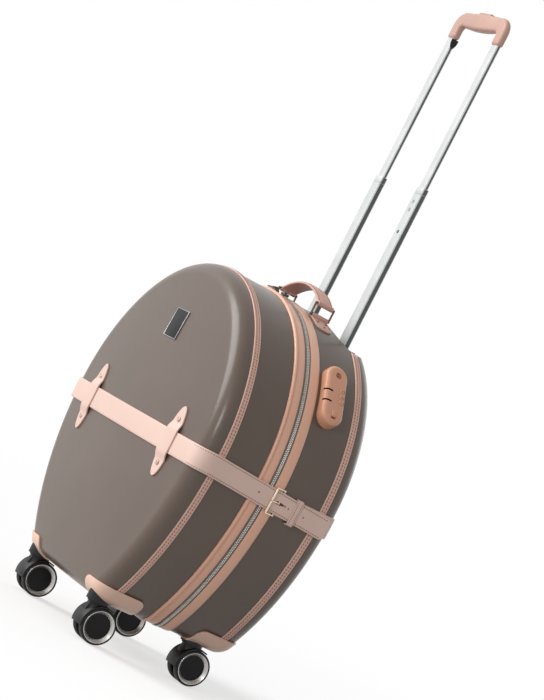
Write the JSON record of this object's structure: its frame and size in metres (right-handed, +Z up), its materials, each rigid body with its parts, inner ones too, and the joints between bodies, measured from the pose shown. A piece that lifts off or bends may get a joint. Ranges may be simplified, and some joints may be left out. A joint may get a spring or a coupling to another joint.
{
  "type": "wheeled suitcase",
  "caption": "Round-topped hard suitcase with a side-opening zipped lid, buckled strap, carry handle, combination lock, telescopic trolley handle and swivel casters.",
  "frame": {"origin": "on the floor under the middle of the case, in the plane of the zip", "axes": "+Z up, +X to the right seen from the front, +Y to the back where the trolley is"},
  "size_m": [0.4656, 0.2417, 1.0074],
  "materials": {
    "taupe_cover": "fine-grain taupe leather-look cover over a hard shell, low sheen",
    "lining_cloth": "plain woven lining",
    "blush_leather": "smooth blush leather with stitched edges, satin",
    "zip_tape": "woven tape with silver teeth",
    "salmon_moulding": "salmon moulded cover, soft satin",
    "badge_black": "bare black plate",
    "satin_aluminium": "satin anodised",
    "black_plastic": "moulded, fine texture",
    "wheel_hub": "black disc in a silver ring",
    "tyre_black": "smooth black tread",
    "bright_metal": "pale champagne plating",
    "dark_bronze": "dark bronze plating",
    "spring_steel": "plain steel"
  },
  "bodies": {
    "rear_case": {"rear_shell": "taupe_cover", "rear_lining": "lining_cloth", "rear_binding": "blush_leather", "rear_zip_trim": "blush_leather", "rear_zip_tape": "zip_tape", "hinge_strip": "blush_leather", "buckle_strap": "blush_leather", "buckle_frame": "bright_metal", "strap_loop": "blush_leather", "rear_corner_guards": "salmon_moulding", "rear_caster_plates": "black_plastic", "handle_chapes": "blush_leather", "chape_rivets": "bright_metal", "lock_body": "salmon_moulding", "trolley_bezel": "black_plastic", "base_tubes": "satin_aluminium", "tube_foot": "black_plastic"},
    "lid": {"lid_shell": "taupe_cover", "lid_lining": "lining_cloth", "lid_binding": "blush_leather", "lid_zip_trim": "blush_leather", "lid_zip_tape": "zip_tape", "front_strap": "blush_leather", "strap_keepers": "blush_leather", "lid_rivets": "bright_metal", "badge_plate": "badge_black", "lid_corner_guards": "salmon_moulding", "front_caster_plates": "black_plastic"},
    "trolley_middle": {"middle_tubes": "satin_aluminium", "middle_collars": "satin_aluminium"},
    "trolley_inner": {"inner_tubes": "satin_aluminium", "trolley_grip": "salmon_moulding"},
    "grip_button": {"grip_button": "salmon_moulding", "release_bar": "spring_steel"},
    "left_loop": {"left_handle_loop": "dark_bronze"},
    "right_loop": {"right_handle_loop": "dark_bronze"},
    "handle": {"carry_handle": "blush_leather"},
    "first_dial": {"first_lock_dial": "black_plastic"},
    "second_dial": {"second_lock_dial": "black_plastic"},
    "third_dial": {"third_lock_dial": "black_plastic"},
    "key_plug": {"key_plug": "bright_metal"},
    "lock_button": {"lock_button": "black_plastic"},
    "left_slider": {"left_zip_slider": "dark_bronze"},
    "right_slider": {"right_zip_slider": "dark_bronze"},
    "left_pull": {"left_zip_pull": "dark_bronze"},
    "right_pull": {"right_zip_pull": "dark_bronze"},
    "prong": {"buckle_prong": "bright_metal"},
    "front_left_fork": {"front_left_caster_fork": "black_plastic"},
    "front_left_wheels": {"front_left_wheel_hubs": "wheel_hub", "front_left_tyres": "tyre_black"},
    "front_right_fork": {"front_right_caster_fork": "black_plastic"},
    "front_right_wheels": {"front_right_wheel_hubs": "wheel_hub", "front_right_tyres": "tyre_black"},
    "rear_left_fork": {"rear_left_caster_fork": "black_plastic"},
    "rear_left_wheels": {"rear_left_wheel_hubs": "wheel_hub", "rear_left_tyres": "tyre_black"},
    "rear_right_fork": {"rear_right_caster_fork": "black_plastic"},
    "rear_right_wheels": {"rear_right_wheel_hubs": "wheel_hub", "rear_right_tyres": "tyre_black"}
  },
  "joints": [
    {"name": "lid_hinge", "type": "hinge", "parent": "rear_case", "child": "lid", "pos_m": [-0.2316, 0, 0.3], "axis": [0, 0, -1], "range_deg": [0, 180], "deforming": ["front_strap", "hinge_strip"]},
    {"name": "trolley_lower_slide", "type": "slide", "parent": "rear_case", "child": "trolley_middle", "axis": [0, 0, 1], "range_m": [-0.22, 0]},
    {"name": "trolley_upper_slide", "type": "slide", "parent": "trolley_middle", "child": "trolley_inner", "axis": [0, 0, 1], "range_m": [-0.215, 0]},
    {"name": "grip_button_press", "type": "slide", "parent": "trolley_inner", "child": "grip_button", "axis": [0, 0, -1], "range_m": [0, 0.0022], "stiffness_N_per_m": 400},
    {"name": "left_loop_swing", "type": "hinge", "parent": "rear_case", "child": "left_loop", "pos_m": [-0.059, 0.041, 0.52085], "axis": [0, 1, 0], "range_deg": [-50, 50]},
    {"name": "handle_pivot", "type": "hinge", "parent": "left_loop", "child": "handle", "pos_m": [-0.059, 0.041, 0.53836], "axis": [0, 1, 0], "range_deg": [-50, 50]},
    {"name": "right_loop_swing", "type": "hinge", "parent": "rear_case", "child": "right_loop", "pos_m": [0.059, 0.041, 0.52085], "axis": [0, 1, 0], "range_deg": [-50, 50]},
    {"name": "first_dial_turn", "type": "hinge", "parent": "rear_case", "child": "first_dial", "pos_m": [0.18504, 0.0505, 0.44056], "axis": [0.5736, 0, -0.8192], "continuous": true},
    {"name": "second_dial_turn", "type": "hinge", "parent": "rear_case", "child": "second_dial", "pos_m": [0.19021, 0.0505, 0.43318], "axis": [0.5736, 0, -0.8192], "continuous": true},
    {"name": "third_dial_turn", "type": "hinge", "parent": "rear_case", "child": "third_dial", "pos_m": [0.19537, 0.0505, 0.42581], "axis": [0.5736, 0, -0.8192], "continuous": true},
    {"name": "key_turn", "type": "hinge", "parent": "rear_case", "child": "key_plug", "pos_m": [0.17259, 0.042, 0.45625], "axis": [0.8192, 0, 0.5736], "range_deg": [0, 90]},
    {"name": "lock_button_slide", "type": "slide", "parent": "rear_case", "child": "lock_button", "axis": [0.5736, 0, -0.8192], "range_m": [0, 0.003], "stiffness_N_per_m": 300},
    {"name": "left_slider_run", "type": "hinge", "parent": "rear_case", "child": "left_slider", "pos_m": [0, 0, 0.3], "axis": [0, 1, 0], "range_deg": [-64, 0]},
    {"name": "right_slider_run", "type": "hinge", "parent": "rear_case", "child": "right_slider", "pos_m": [0, 0, 0.3], "axis": [0, 1, 0], "range_deg": [0, 76]},
    {"name": "left_pull_swing", "type": "hinge", "parent": "left_slider", "child": "left_pull", "pos_m": [-0.01627, 0, 0.53273], "axis": [0, 1, 0], "range_deg": [0, 95]},
    {"name": "right_pull_swing", "type": "hinge", "parent": "right_slider", "child": "right_pull", "pos_m": [0.01627, 0, 0.53273], "axis": [0, 1, 0], "range_deg": [-95, 0]},
    {"name": "prong_swing", "type": "hinge", "parent": "rear_case", "child": "prong", "pos_m": [0.22575, 0.022, 0.27726], "axis": [0.0656, 0, 0.9978], "range_deg": [0, 100], "deforming": ["front_strap"]},
    {"name": "front_left_swivel", "type": "hinge", "parent": "lid", "child": "front_left_fork", "pos_m": [-0.112, -0.09, 0.05], "axis": [0, 0, 1], "continuous": true},
    {"name": "front_left_wheel_spin", "type": "hinge", "parent": "front_left_fork", "child": "front_left_wheels", "pos_m": [-0.112, -0.078, 0.025], "axis": [1, 0, 0], "continuous": true},
    {"name": "front_right_swivel", "type": "hinge", "parent": "lid", "child": "front_right_fork", "pos_m": [0.112, -0.09, 0.05], "axis": [0, 0, 1], "continuous": true},
    {"name": "front_right_wheel_spin", "type": "hinge", "parent": "front_right_fork", "child": "front_right_wheels", "pos_m": [0.112, -0.078, 0.025], "axis": [1, 0, 0], "continuous": true},
    {"name": "rear_left_swivel", "type": "hinge", "parent": "rear_case", "child": "rear_left_fork", "pos_m": [-0.112, 0.064, 0.05], "axis": [0, 0, 1], "continuous": true},
    {"name": "rear_left_wheel_spin", "type": "hinge", "parent": "rear_left_fork", "child": "rear_left_wheels", "pos_m": [-0.112, 0.076, 0.025], "axis": [1, 0, 0], "continuous": true},
    {"name": "rear_right_swivel", "type": "hinge", "parent": "rear_case", "child": "rear_right_fork", "pos_m": [0.112, 0.064, 0.05], "axis": [0, 0, 1], "continuous": true},
    {"name": "rear_right_wheel_spin", "type": "hinge", "parent": "rear_right_fork", "child": "rear_right_wheels", "pos_m": [0.112, 0.076, 0.025], "axis": [1, 0, 0], "continuous": true}
  ],
  "couplings": [
    {"joint": "handle_pivot", "follows": "left_loop_swing", "ratio": -1},
    {"joint": "right_loop_swing", "follows": "left_loop_swing", "ratio": 1}
  ]
}
